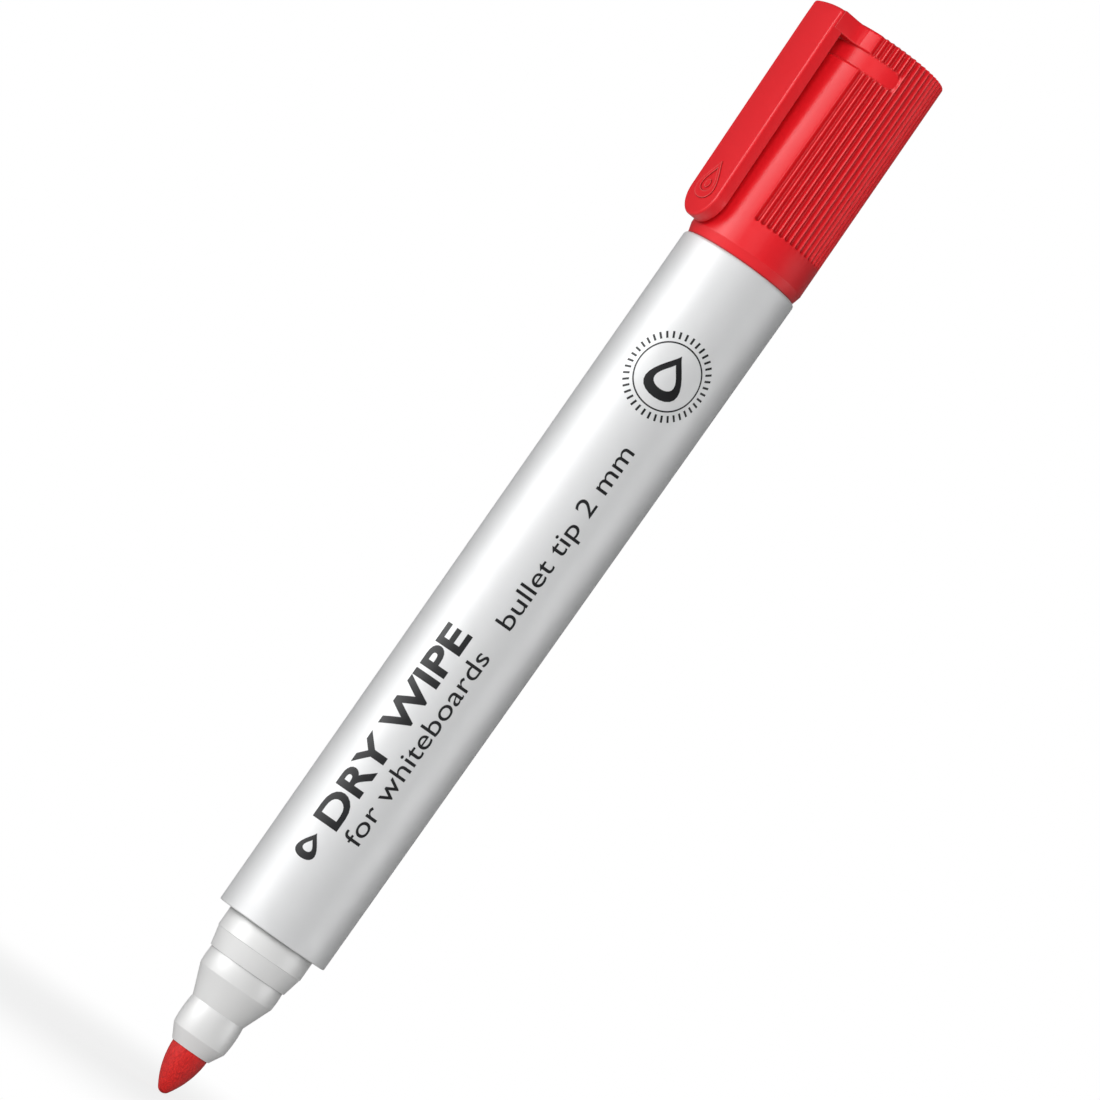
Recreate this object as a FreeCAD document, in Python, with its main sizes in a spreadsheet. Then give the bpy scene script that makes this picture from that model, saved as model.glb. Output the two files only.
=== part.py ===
import FreeCAD, Part
import math
import os

import Sketcher

# A dry-wipe marker with a bullet nib, its cap pushed onto the rear end.
# Z runs along the axis, from the writing tip at the origin to the closed end of the cap.
# The pocket clip is on the -X side, and the XZ plane is the plane of symmetry.

# Driving dimensions in millimetres and degrees. A name that ends in _z is a height above
# the writing tip.
SIZES = {
    # nib: a fibre rod with an ogive point
    "nib_radius": 2.5,
    "nib_point_radius": 0.9,
    "nib_point_edge_radius": 0.75,
    "nib_flank_radius": 11.0,
    "nib_flank_z": 6.1,
    "nib_end_z": 43.5,
    "nib_end_chamfer": 0.3,
    # front section: lip, nose, cone, sealing band, collar, cap seat and shank
    "nib_bore_radius": 2.52,
    "lip_radius": 2.67,
    "nose_front_radius": 3.7,
    "nose_rear_radius": 3.7,
    "nose_bow_radius": 15.0,
    "band_radius": 5.2,
    "band_bow_radius": 12.0,
    "collar_front_radius": 5.4,
    "collar_rear_radius": 5.95,
    "collar_bow_radius": 40.0,
    "seat_radius": 6.03,
    "shank_radius": 5.6,
    "shank_bore_radius": 4.4,
    "bead_height": 0.3,
    "bead_length": 1.4,
    "bead_clearance": 0.05,
    "nose_front_z": 7.95,
    "nose_rear_z": 11.9,
    "band_front_z": 15.66,
    "band_rear_z": 18.05,
    "collar_rear_z": 20.5,
    "nib_bore_end_z": 17.0,
    "shank_bore_z": 18.7,
    "shank_end_z": 38.0,
    # barrel: a drafted tube with a front wall and centring ribs
    "barrel_front_z": 23.2,
    "barrel_rear_z": 122.1,
    "barrel_front_radius": 7.64,
    "barrel_rear_radius": 8.07,
    "barrel_bore_radius": 6.7,
    "barrel_front_wall": 1.6,
    "barrel_front_round": 0.15,
    "barrel_rear_round": 0.4,
    "centring_rib_width": 0.8,
    "centring_rib_root": 0.2,
    "centring_rib_clearance": 0.05,
    "centring_rib_front_z": 42.0,
    "centring_rib_rear_z": 109.0,
    "centring_rib_count": 4,
    # ink cartridge and its film sleeve
    "cartridge_radius": 5.6,
    "sleeve_thickness": 0.2,
    "cartridge_front_z": 39.0,
    "cartridge_rear_z": 111.0,
    # rear plug with the spigot that the posted cap sits on
    "plug_front_z": 112.0,
    "plug_wall": 1.1,
    "spigot_radius": 6.1,
    "spigot_cone_z": 125.4,
    "spigot_nose_z": 127.0,
    "spigot_end_z": 128.0,
    "spigot_nose_radius": 4.9,
    # cap shell
    "cap_length": 32.3,
    "cap_mouth_radius": 8.08,
    "cap_top_radius": 7.8,
    "cap_bore_radius": 6.15,
    "cap_top_wall": 1.9,
    "cap_mouth_chamfer_depth": 0.28,
    "cap_mouth_chamfer_length": 1.3,
    "cap_lead_in": 0.3,
    "cap_top_round": 0.35,
    "grip_groove_count": 42,
    "grip_groove_width": 0.6,
    "grip_groove_depth": 0.26,
    "grip_groove_start": 5.0,
    "grip_groove_first_angle": 47.6,
    # oblong recess that runs round the cap behind the clip
    "recess_depth": 0.36,
    "recess_width": 2.4,
    "recess_end_drop": 2.65,
    "recess_half_angle": 82.7,
    # clip and the bridge that carries it
    "clip_width": 7.15,
    "clip_reach": 11.0,
    "clip_thickness": 1.74,
    "clip_lean": 0.7,
    "clip_edge_round": 0.3,
    "clip_tip_radius": 3.3,
    "bridge_thickness": 2.65,
    "bridge_flare_angle": 35.0,
    "bridge_flare_start": 8.6,
    "bridge_flare_radius": 3.2,
    "bridge_foot_depth": 0.15,
    # liner cup that seals on the band of the front section
    "liner_radius": 6.1,
    "liner_bore_radius": 5.22,
    "liner_front_drop": 5.1,
    "liner_top_gap": 0.1,
    "liner_top_wall": 1.2,
    "liner_edge": 0.2,
    # how far the outline of a cut runs out past the surface
    "cut_margin": 1.0,
}

doc = FreeCAD.newDocument("Marker")


def make_sheet():
    """The driving dimensions, one cell each, under the name that formulas use."""
    cells = doc.addObject("Spreadsheet::Sheet", "dim")
    for row, (name, number) in enumerate(SIZES.items(), start=1):
        cells.set(f"A{row}", name)
        cells.set(f"B{row}", str(number))
        cells.setAlias(f"B{row}", name)
    doc.recompute()
    return cells


sheet = make_sheet()
sub_parts = []


def value(formula):
    """The number that a formula of the sheet's dimensions gives now."""
    result = sheet.evalExpression(str(formula))
    return float(getattr(result, "Value", result))


def origin_feature(body, role):
    return next(f for f in body.Origin.OriginFeatures if f.Role == role)


def new_body(label):
    body = doc.addObject("PartDesign::Body", label)
    body.Label = label
    sub_parts.append(body)
    return body


def new_sketch(body, plane, name, lift="0"):
    """A sketch on one of the body's origin planes, raised along the plane's normal."""
    sketch = body.newObject("Sketcher::SketchObject", name)
    sketch.AttachmentSupport = [(origin_feature(body, plane), "")]
    sketch.MapMode = "FlatFace"
    sketch.setExpression(".AttachmentOffset.Base.z", lift)
    return sketch


def pin_point(sketch, geometry, end, x, y):
    """Fixes one end of an edge at the place that two formulas give."""
    axes = (("DistanceX", x, -2), ("DistanceY", y, -1))
    for kind, formula, axis in axes:
        place = value(formula)
        if abs(place) < 1e-9:
            sketch.addConstraint(Sketcher.Constraint("PointOnObject", geometry, end, axis))
            continue
        index = sketch.addConstraint(Sketcher.Constraint(kind, -1, 1, geometry, end, place))
        sketch.setExpression(f"Constraints[{index}]", formula)


def arc_between(start, finish, radius, side):
    """An arc of the given radius that bows to the right (side 1) or the left (side -1)."""
    chord = finish - start
    sagitta = radius - math.sqrt(radius**2 - (chord.Length / 2) ** 2)
    across = FreeCAD.Vector(chord.y, -chord.x, 0).normalize()
    middle = (start + finish) * 0.5 + across * sagitta * side
    return Part.Arc(start, middle, finish)


def draw_outline(sketch, outline):
    """A closed outline of (x, y) formulas. A point with two more entries, a radius and a
    side, starts an arc instead of a straight edge."""
    corners = [FreeCAD.Vector(value(point[0]), value(point[1]), 0) for point in outline]
    ends = []
    for i, point in enumerate(outline):
        start, finish = corners[i], corners[(i + 1) % len(corners)]
        if len(point) == 2:
            edge = sketch.addGeometry(Part.LineSegment(start, finish))
            ends.append((edge, 1, 2))
            continue
        arc = arc_between(start, finish, value(point[2]), point[3])
        edge = sketch.addGeometry(arc)
        forward = (sketch.getPoint(edge, 1) - start).Length < 1e-6
        ends.append((edge, 1, 2) if forward else (edge, 2, 1))
        index = sketch.addConstraint(Sketcher.Constraint("Radius", edge, value(point[2])))
        sketch.setExpression(f"Constraints[{index}]", point[2])
    for i, (edge, first, last) in enumerate(ends):
        follower = ends[(i + 1) % len(ends)]
        link = Sketcher.Constraint("Coincident", edge, last, follower[0], follower[1])
        sketch.addConstraint(link)
        pin_point(sketch, edge, first, outline[i][0], outline[i][1])


def turn(body, name, outline):
    """A solid of revolution about Z. The outline is (radius, height) formulas."""
    sketch = new_sketch(body, "XZ_Plane", f"{name}_outline")
    draw_outline(sketch, outline)
    feature = body.newObject("PartDesign::Revolution", name)
    feature.Profile = sketch
    feature.ReferenceAxis = (sketch, ["V_Axis"])
    feature.Angle = 360
    doc.recompute()
    return feature


def pad(body, name, sketch, length):
    feature = body.newObject("PartDesign::Pad", name)
    feature.Profile = sketch
    feature.setExpression("Length", length)
    doc.recompute()
    return feature


def repeat_round(body, name, feature, count, angle):
    """Repeats a feature round Z and makes the pattern the body's result."""
    pattern = body.newObject("PartDesign::PolarPattern", name)
    pattern.Originals = [feature]
    pattern.Axis = (origin_feature(body, "Z_Axis"), [""])
    pattern.setExpression("Angle", angle)
    pattern.setExpression("Occurrences", count)
    body.Tip = pattern
    doc.recompute()
    return pattern


def edges_where(feature, test):
    """The names of a feature's edges whose middle and direction pass a test."""
    names = []
    for i, edge in enumerate(feature.Shape.Edges, start=1):
        middle = edge.valueAt((edge.FirstParameter + edge.LastParameter) / 2)
        along = (edge.Vertexes[-1].Point - edge.Vertexes[0].Point)
        if test(middle, along):
            names.append(f"Edge{i}")
    return names


def round_edges(body, name, feature, edges, radius):
    fillet = body.newObject("PartDesign::Fillet", name)
    fillet.Base = (feature, edges)
    fillet.setExpression("Radius", radius)
    doc.recompute()
    return fillet


def make_nib():
    point_z = (
        "dim.nib_point_radius - sqrt(dim.nib_point_radius ^ 2"
        " - dim.nib_point_edge_radius ^ 2)"
    )
    turn(
        new_body("nib"),
        "nib_rod",
        [
            ("0", "0", "dim.nib_point_radius", 1),
            ("dim.nib_point_edge_radius", point_z, "dim.nib_flank_radius", 1),
            ("dim.nib_radius", "dim.nib_flank_z"),
            ("dim.nib_radius", "dim.nib_end_z - dim.nib_end_chamfer"),
            ("dim.nib_radius - dim.nib_end_chamfer", "dim.nib_end_z"),
            ("0", "dim.nib_end_z"),
        ],
    )


def make_front_section():
    seat_z = "dim.collar_rear_z + dim.seat_radius - dim.collar_rear_radius"
    bead_z = "dim.barrel_front_z + dim.barrel_front_wall + dim.bead_clearance"
    turn(
        new_body("front_section"),
        "section_wall",
        [
            ("dim.nib_bore_radius", "dim.nib_flank_z"),
            ("dim.lip_radius", "dim.nib_flank_z"),
            ("dim.nose_front_radius", "dim.nose_front_z", "dim.nose_bow_radius", 1),
            ("dim.nose_rear_radius", "dim.nose_rear_z"),
            ("dim.band_radius", "dim.band_front_z", "dim.band_bow_radius", 1),
            ("dim.band_radius", "dim.band_rear_z"),
            ("dim.collar_front_radius", "dim.band_rear_z", "dim.collar_bow_radius", -1),
            ("dim.collar_rear_radius", "dim.collar_rear_z"),
            ("dim.seat_radius", seat_z),
            ("dim.seat_radius", "dim.barrel_front_z"),
            ("dim.shank_radius", "dim.barrel_front_z"),
            ("dim.shank_radius", bead_z),
            ("dim.shank_radius + dim.bead_height", f"{bead_z} + dim.bead_height"),
            ("dim.shank_radius", f"{bead_z} + dim.bead_length"),
            ("dim.shank_radius", "dim.shank_end_z"),
            ("dim.shank_bore_radius", "dim.shank_end_z"),
            ("dim.shank_bore_radius", "dim.shank_bore_z"),
            ("dim.nib_bore_radius", "dim.nib_bore_end_z"),
        ],
    )


def make_barrel():
    body = new_body("barrel")
    front, rear = "dim.barrel_front_z", "dim.barrel_rear_z"
    wall_end = "dim.barrel_front_z + dim.barrel_front_wall"
    turn(
        body,
        "barrel_wall",
        [
            ("dim.shank_radius", front),
            (
                "dim.barrel_front_radius - dim.barrel_front_round",
                front,
                "dim.barrel_front_round",
                1,
            ),
            ("dim.barrel_front_radius", f"{front} + dim.barrel_front_round"),
            (
                "dim.barrel_rear_radius",
                f"{rear} - dim.barrel_rear_round",
                "dim.barrel_rear_round",
                1,
            ),
            ("dim.barrel_rear_radius - dim.barrel_rear_round", rear),
            ("dim.barrel_bore_radius", rear),
            ("dim.barrel_bore_radius", wall_end),
            ("dim.shank_radius", wall_end),
        ],
    )
    # ribs that keep the cartridge on the axis
    sketch = new_sketch(body, "XY_Plane", "rib_outline", "dim.centring_rib_front_z")
    inner = "dim.cartridge_radius + dim.sleeve_thickness + dim.centring_rib_clearance"
    half = "dim.centring_rib_width / 2"
    outer = "dim.barrel_bore_radius + dim.centring_rib_root"
    draw_outline(
        sketch,
        [(inner, f"-{half}"), (outer, f"-{half}"), (outer, half), (inner, half)],
    )
    rib = pad(body, "rib", sketch, "dim.centring_rib_rear_z - dim.centring_rib_front_z")
    repeat_round(body, "ribs", rib, "dim.centring_rib_count", "360")


def make_ink_reservoir():
    """The fibre core, with the blind hole that the nib is pushed into."""
    core = doc.addObject("Part::Cylinder", "core")
    core.setExpression("Radius", "dim.cartridge_radius")
    core.setExpression("Height", "dim.cartridge_rear_z - dim.cartridge_front_z")
    core.setExpression(".Placement.Base.z", "dim.cartridge_front_z")
    hole = doc.addObject("Part::Cylinder", "nib_hole")
    hole.setExpression("Radius", "dim.nib_radius")
    hole.setExpression("Height", "dim.nib_end_z - dim.cartridge_front_z")
    hole.setExpression(".Placement.Base.z", "dim.cartridge_front_z")
    cut = doc.addObject("Part::Cut", "ink_reservoir")
    cut.Base, cut.Tool = core, hole
    cut.Label = "ink_reservoir"
    sub_parts.append(cut)


def make_reservoir_wrap():
    outer = "dim.cartridge_radius + dim.sleeve_thickness"
    turn(
        new_body("reservoir_wrap"),
        "sleeve",
        [
            ("dim.cartridge_radius", "dim.cartridge_front_z"),
            (outer, "dim.cartridge_front_z"),
            (outer, "dim.cartridge_rear_z"),
            ("dim.cartridge_radius", "dim.cartridge_rear_z"),
        ],
    )


def make_rear_plug():
    skirt_bore = "dim.barrel_bore_radius - dim.plug_wall"
    spigot_bore = "dim.spigot_radius - dim.plug_wall"
    end_wall = "dim.spigot_end_z - dim.plug_wall"
    nose = "dim.spigot_nose_radius"
    turn(
        new_body("rear_plug"),
        "plug_wall",
        [
            (skirt_bore, "dim.plug_front_z"),
            ("dim.barrel_bore_radius", "dim.plug_front_z"),
            ("dim.barrel_bore_radius", "dim.barrel_rear_z"),
            ("dim.spigot_radius", "dim.barrel_rear_z"),
            ("dim.spigot_radius", "dim.spigot_cone_z"),
            (nose, "dim.spigot_nose_z"),
            (f"{nose} - (dim.spigot_end_z - dim.spigot_nose_z) / 2", "dim.spigot_end_z"),
            ("0", "dim.spigot_end_z"),
            ("0", end_wall),
            (f"{nose} - dim.plug_wall", end_wall),
            (spigot_bore, "dim.spigot_cone_z - dim.plug_wall"),
            (spigot_bore, "dim.barrel_rear_z - dim.plug_wall"),
            (skirt_bore, "dim.barrel_rear_z - 2 * dim.plug_wall"),
        ],
    )


def make_cap_shell():
    body = new_body("cap_shell")
    mouth, top = "dim.barrel_rear_z", "dim.barrel_rear_z + dim.cap_length"
    bore_end = f"{top} - dim.cap_top_wall"
    turn(
        body,
        "cap_wall",
        [
            ("dim.cap_bore_radius + dim.cap_lead_in", mouth),
            ("dim.cap_mouth_radius - dim.cap_mouth_chamfer_depth", mouth),
            ("dim.cap_mouth_radius", f"{mouth} + dim.cap_mouth_chamfer_length"),
            ("dim.cap_top_radius", f"{top} - dim.cap_top_round", "dim.cap_top_round", 1),
            ("dim.cap_top_radius - dim.cap_top_round", top),
            ("0", top),
            ("0", bore_end),
            ("dim.cap_bore_radius", bore_end),
            ("dim.cap_bore_radius", f"{mouth} + dim.cap_lead_in"),
        ],
    )
    cut_grip_grooves(body, mouth)
    cut_recess(body, top)
    add_bridge(body, top)


def cut_grip_grooves(body, mouth):
    """Fine grooves that leave the grip ribs standing, all round except near the clip."""
    start = f"{mouth} + dim.grip_groove_start"
    sketch = new_sketch(body, "XY_Plane", "groove_outline", start)
    sketch.AttachmentOffset = FreeCAD.Placement(
        sketch.AttachmentOffset.Base, FreeCAD.Rotation(FreeCAD.Vector(0, 0, 1), 1)
    )
    sketch.setExpression(
        ".AttachmentOffset.Rotation.Angle", "180 + dim.grip_groove_first_angle"
    )
    floor = "dim.cap_top_radius - dim.grip_groove_depth"
    half = "dim.grip_groove_width / 2"
    outer = "dim.cap_mouth_radius + dim.cut_margin"
    draw_outline(
        sketch,
        [(floor, f"-{half}"), (outer, f"-{half}"), (outer, half), (floor, half)],
    )
    groove = body.newObject("PartDesign::Pocket", "grip_groove")
    groove.Profile = sketch
    groove.Reversed = True
    groove.setExpression("Length", "dim.cap_length")
    doc.recompute()
    span = "360 - 2 * dim.grip_groove_first_angle"
    repeat_round(body, "grip_grooves", groove, "dim.grip_groove_count", span)


def cut_recess(body, top):
    """A shallow oblong channel, centred on the clip, with a smooth floor."""
    high = f"{top} - dim.recess_end_drop"
    low = f"{high} - dim.recess_width"
    floor = "dim.cap_top_radius - dim.recess_depth"
    outer = "dim.cap_mouth_radius + dim.cut_margin"
    sketch = new_sketch(body, "XZ_Plane", "recess_outline")
    draw_outline(
        sketch,
        [(f"-({outer})", low), (f"-({floor})", low), (f"-({floor})", high), (f"-({outer})", high)],
    )
    channel = body.newObject("PartDesign::Groove", "recess")
    channel.Profile = sketch
    channel.ReferenceAxis = (sketch, ["V_Axis"])
    channel.setExpression("Angle", "2 * dim.recess_half_angle")
    channel.Midplane = True
    doc.recompute()


def add_bridge(body, top):
    """The plate at the closed end that carries the clip, flared into the cap wall."""
    sketch = new_sketch(
        body, "XY_Plane", "bridge_outline", f"{top} - dim.bridge_thickness"
    )
    half = "dim.clip_width / 2"
    reach, flare = "-dim.clip_reach", "-dim.bridge_flare_start"
    foot_radius = "(dim.cap_top_radius - dim.bridge_foot_depth)"
    foot_x = f"-{foot_radius} * cos(dim.bridge_flare_angle * 1deg)"
    foot_y = f"{foot_radius} * sin(dim.bridge_flare_angle * 1deg)"
    bow = "dim.bridge_flare_radius"
    draw_outline(
        sketch,
        [
            (reach, f"-{half}"),
            (flare, f"-{half}", bow, -1),
            (foot_x, f"-{foot_y}"),
            (foot_x, foot_y, bow, -1),
            (flare, half),
            (reach, half),
        ],
    )
    bridge = pad(body, "bridge", sketch, "dim.bridge_thickness")
    reach_x = -value("dim.clip_reach")
    outer = edges_where(
        bridge,
        lambda middle, along: abs(middle.x - reach_x) < 1e-3 and abs(along.z) > 1,
    )
    round_edges(body, "bridge_edges", bridge, outer, "dim.clip_edge_round")


def make_cap_clip():
    """The clip arm, from the underside of the bridge to its rounded tip."""
    body = new_body("cap_clip")
    root = "dim.barrel_rear_z + dim.cap_length - dim.bridge_thickness"
    tip = "dim.barrel_rear_z + dim.cap_mouth_chamfer_length"
    sketch = new_sketch(body, "XZ_Plane", "arm_outline")
    draw_outline(
        sketch,
        [
            ("-dim.clip_reach", root),
            ("-(dim.clip_reach - dim.clip_lean)", tip),
            ("-(dim.clip_reach - dim.clip_lean - dim.clip_thickness)", tip),
            ("-(dim.clip_reach - dim.clip_thickness)", root),
        ],
    )
    arm = pad(body, "arm", sketch, "dim.clip_width")
    arm.Midplane = True
    doc.recompute()
    tip_z = value(tip)
    corners = edges_where(
        arm,
        lambda middle, along: abs(middle.z - tip_z) < 1e-3 and abs(along.x) > 1,
    )
    tip_round = round_edges(body, "arm_tip", arm, corners, "dim.clip_tip_radius")
    half = value("dim.clip_width / 2")
    outer = edges_where(
        tip_round,
        lambda middle, along: abs(abs(middle.y) - half) < 1e-3
        and abs(along.z) > 10
        and middle.x < -value("dim.clip_reach - dim.clip_thickness / 2 - dim.clip_lean / 2"),
    )
    round_edges(body, "arm_edges", tip_round, outer, "dim.clip_edge_round")


def make_cap_inner_seal():
    front = "dim.barrel_rear_z + dim.liner_front_drop"
    top = "dim.barrel_rear_z + dim.cap_length - dim.cap_top_wall - dim.liner_top_gap"
    turn(
        new_body("cap_inner_seal"),
        "liner_wall",
        [
            ("dim.liner_bore_radius + dim.liner_edge", front),
            ("dim.liner_radius - dim.liner_edge", front),
            ("dim.liner_radius", f"{front} + dim.liner_edge"),
            ("dim.liner_radius", f"{top} - dim.liner_edge"),
            ("dim.liner_radius - dim.liner_edge", top),
            ("0", top),
            ("0", f"{top} - dim.liner_top_wall"),
            ("dim.liner_bore_radius", f"{top} - dim.liner_top_wall"),
            ("dim.liner_bore_radius", f"{front} + dim.liner_edge"),
        ],
    )


def write_parts():
    """Writes each sub-part to its own STEP file, once everything is sound."""
    doc.recompute()
    failed = [
        item.Label for item in doc.Objects if {"Invalid", "Error"} & set(item.State)
    ]
    if failed:
        raise RuntimeError(f"these objects failed: {failed}")
    for part in sub_parts:
        if part.Shape.isNull() or not part.Shape.isValid():
            raise RuntimeError(f"{part.Label} has no sound shape")
    os.makedirs("parts", exist_ok=True)
    for part in sub_parts:
        part.Shape.exportStep(os.path.join("parts", f"{part.Label}.step"))
        box = part.Shape.BoundBox
        print(
            f"{part.Label}: {part.Shape.Volume:.1f} mm3, z {box.ZMin:.2f} to {box.ZMax:.2f},"
            f" {len(part.Shape.Solids)} solid"
        )


make_nib()
make_front_section()
make_barrel()
make_ink_reservoir()
make_reservoir_wrap()
make_rear_plug()
make_cap_shell()
make_cap_clip()
make_cap_inner_seal()
write_parts()
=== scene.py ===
import bpy
import bmesh
import math
from mathutils import Matrix, Vector, noise


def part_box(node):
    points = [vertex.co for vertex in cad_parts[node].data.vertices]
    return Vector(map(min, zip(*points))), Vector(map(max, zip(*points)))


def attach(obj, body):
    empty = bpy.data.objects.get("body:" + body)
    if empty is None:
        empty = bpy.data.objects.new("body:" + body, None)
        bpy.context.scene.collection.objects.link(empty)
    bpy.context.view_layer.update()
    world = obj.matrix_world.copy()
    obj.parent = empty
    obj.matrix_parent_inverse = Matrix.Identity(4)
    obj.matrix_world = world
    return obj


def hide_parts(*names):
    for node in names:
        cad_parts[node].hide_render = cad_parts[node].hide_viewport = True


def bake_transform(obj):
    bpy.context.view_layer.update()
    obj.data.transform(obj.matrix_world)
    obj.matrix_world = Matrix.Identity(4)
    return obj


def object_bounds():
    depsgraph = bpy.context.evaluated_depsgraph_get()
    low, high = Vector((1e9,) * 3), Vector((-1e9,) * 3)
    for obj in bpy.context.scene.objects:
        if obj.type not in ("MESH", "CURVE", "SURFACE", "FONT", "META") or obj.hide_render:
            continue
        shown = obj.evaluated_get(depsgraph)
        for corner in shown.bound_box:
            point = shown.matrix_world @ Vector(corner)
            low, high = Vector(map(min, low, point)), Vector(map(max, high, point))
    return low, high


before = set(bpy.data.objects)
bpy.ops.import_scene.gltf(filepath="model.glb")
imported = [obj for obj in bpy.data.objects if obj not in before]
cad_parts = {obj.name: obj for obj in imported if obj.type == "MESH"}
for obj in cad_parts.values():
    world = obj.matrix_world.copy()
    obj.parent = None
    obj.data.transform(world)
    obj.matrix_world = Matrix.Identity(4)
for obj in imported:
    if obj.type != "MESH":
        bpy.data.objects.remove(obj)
cadBox = [list(corner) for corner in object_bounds()]

mm = 0.001
facing = -120  # the printed side of the barrel faces this way, in degrees round Z from +X
clipSide = 180  # and the clip this way
turnSteps = 192  # columns round a turned piece
weld = 1e-8  # points closer than this are joined, in metres
flatWeld = 1e-4  # and in flat forms, which are drawn in millimetres


def boxOf(node):
    # lowest and highest corners of a CAD node, in millimetres
    low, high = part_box(node)
    return Vector(low) / mm, Vector(high) / mm


barrelLow, barrelHigh = boxOf("barrel")
sectionLow, sectionHigh = boxOf("front_section")
nibHigh = boxOf("nib")[1]
plugLow, plugHigh = boxOf("rear_plug")
linerLow, linerHigh = boxOf("cap_inner_seal")
capLow, capHigh = boxOf("cap_shell")
clipLow, clipHigh = boxOf("cap_clip")


def between(low, high, count):
    return [low + (high - low) * i / count for i in range(count + 1)]


def polar(radius, degrees):
    angle = math.radians(degrees)
    return Vector((radius * math.cos(angle), radius * math.sin(angle)))


def smoothStep(low, high, x):
    t = min(max((x - low) / (high - low), 0), 1)
    return t * t * (3 - 2 * t)


def bowed(start, finish, radius, steps=8):
    # points of an arc from start up to finish; a positive radius bows away from the axis
    start, finish = Vector(start[:2]), Vector(finish[:2])
    chord = finish - start
    side = 1 if radius > 0 else -1
    rise = math.sqrt(radius * radius - chord.length_squared / 4) * side
    centre = (start + finish) / 2 + Vector((-chord.y, chord.x)).normalized() * rise
    arms = [(start - centre).slerp(finish - centre, i / steps) * abs(radius) for i in range(1, steps)]
    return [tuple(centre + arm) for arm in arms]


def roundedOutline(corners, steps=6, hold=0.04):
    # corners are (x, y) or (x, y, round); a round becomes an arc with a holding point each side
    points = []
    for i, corner in enumerate(corners):
        here = Vector(corner[:2])
        if len(corner) < 3:
            points.append(tuple(here))
            continue
        before = (Vector(corners[i - 1][:2]) - here).normalized()
        after = (Vector(corners[(i + 1) % len(corners)][:2]) - here).normalized()
        half = before.angle(after) / 2
        reach = corner[2] / math.tan(half)
        centre = here + (before + after).normalized() * corner[2] / math.sin(half)
        start = here + before * reach - centre
        finish = here + after * reach - centre
        points.append(tuple(here + before * (reach + hold)))
        for step in range(steps + 1):
            points.append(tuple(centre + start.slerp(finish, step / steps) * corner[2]))
        points.append(tuple(here + after * (reach + hold)))
    return points


def finishedPiece(name, form, sharpAngle=40):
    bmesh.ops.remove_doubles(form, verts=form.verts, dist=weld)
    bmesh.ops.recalc_face_normals(form, faces=form.faces)
    mesh = bpy.data.meshes.new(name)
    form.to_mesh(mesh)
    form.free()
    mesh.polygons.foreach_set("use_smooth", [True] * len(mesh.polygons))
    mesh.set_sharp_from_angle(angle=math.radians(sharpAngle))
    piece = bpy.data.objects.new(name, mesh)
    bpy.context.collection.objects.link(piece)
    return piece


def turned(name, outline, angles=None, shape=None, sharpAngle=40):
    # spins an outline of (radius, height) about Z; shape(angle, radius, height) may move a point
    angles = angles or between(0, 2 * math.pi, turnSteps)[:-1]
    form = bmesh.new()
    rings = []
    for radius, height in outline:
        if radius < 1e-6:
            rings.append([form.verts.new((0, 0, height * mm))])
            continue
        ring = []
        for angle in angles:
            r, z = shape(angle, radius, height) if shape else (radius, height)
            ring.append(form.verts.new(Vector((r * math.cos(angle), r * math.sin(angle), z)) * mm))
        rings.append(ring)
    onAxis = len(rings[0]) == 1 and len(rings[-1]) == 1
    pairs = list(zip(rings, rings[1:])) + ([] if onAxis else [(rings[-1], rings[0])])
    for near, far in pairs:
        for i in range(len(angles)):
            j = (i + 1) % len(angles)
            loop = [near[i % len(near)], near[j % len(near)], far[j % len(far)], far[i % len(far)]]
            corners = list(dict.fromkeys(loop))
            if len(corners) > 2:
                form.faces.new(corners)
    return finishedPiece(name, form, sharpAngle)


def sliced(form, places):
    # cuts a form across Y, so that it can bend there
    normal = Vector((0, 1, 0))
    for place in places:
        everything = form.verts[:] + form.edges[:] + form.faces[:]
        bmesh.ops.bisect_plane(form, geom=everything, plane_co=normal * place, plane_no=normal)


def plate(name, outline, low, high, lowRound, highRound, place, cuts=(), steps=5):
    # a flat plate of any outline between two depths, with rounded rims; place(x, y, depth) sets it in space
    count = len(outline)
    corners = [Vector(point) for point in outline]
    area = sum(a.x * b.y - a.y * b.x for a, b in zip(corners, corners[1:] + corners[:1]))
    normals = []
    for i in range(count):
        along = (corners[(i + 1) % count] - corners[i - 1]).normalized()
        normals.append(Vector((along.y, -along.x)) * (1 if area > 0 else -1))
    layers = []
    for step in range(steps + 1):
        turn = math.pi / 2 * step / steps
        layers.append((lowRound * (1 - math.sin(turn)), low + lowRound * (1 - math.cos(turn))))
    for step in range(steps + 1):
        turn = math.pi / 2 * step / steps
        layers.append((highRound * (1 - math.cos(turn)), high - highRound * (1 - math.sin(turn))))
    form = bmesh.new()
    rings = []
    for inset, depth in layers:
        flat = [corner - normal * inset for corner, normal in zip(corners, normals)]
        rings.append([form.verts.new((point.x, point.y, depth)) for point in flat])
    for near, far in zip(rings, rings[1:]):
        for i in range(count):
            j = (i + 1) % count
            form.faces.new((near[i], near[j], far[j], far[i]))
    form.faces.new(rings[0])
    form.faces.new(rings[-1])
    sliced(form, cuts)
    for vert in form.verts:
        vert.co = Vector(place(*vert.co)) * mm
    return finishedPiece(name, form)


# the camera looks at the printed side; angles and sides below are seen from it
shot = {
    "azimuth": -30.0,
    "distance": 778.0,
    "height": 36.0,
    "aimHeight": 80.68,
    "aimSide": 0.805,
    "roll": 35.09,
    "lens": 210.0,
    "sensor": 36.0,
    "clip": (0.05, 50),
}


def aimed(place, aim, roll=0.0):
    look = (aim - place).to_track_quat("-Z", "Y").to_matrix().to_4x4()
    return Matrix.Translation(place * mm) @ look @ Matrix.Rotation(math.radians(roll), 4, "Z")


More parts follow.
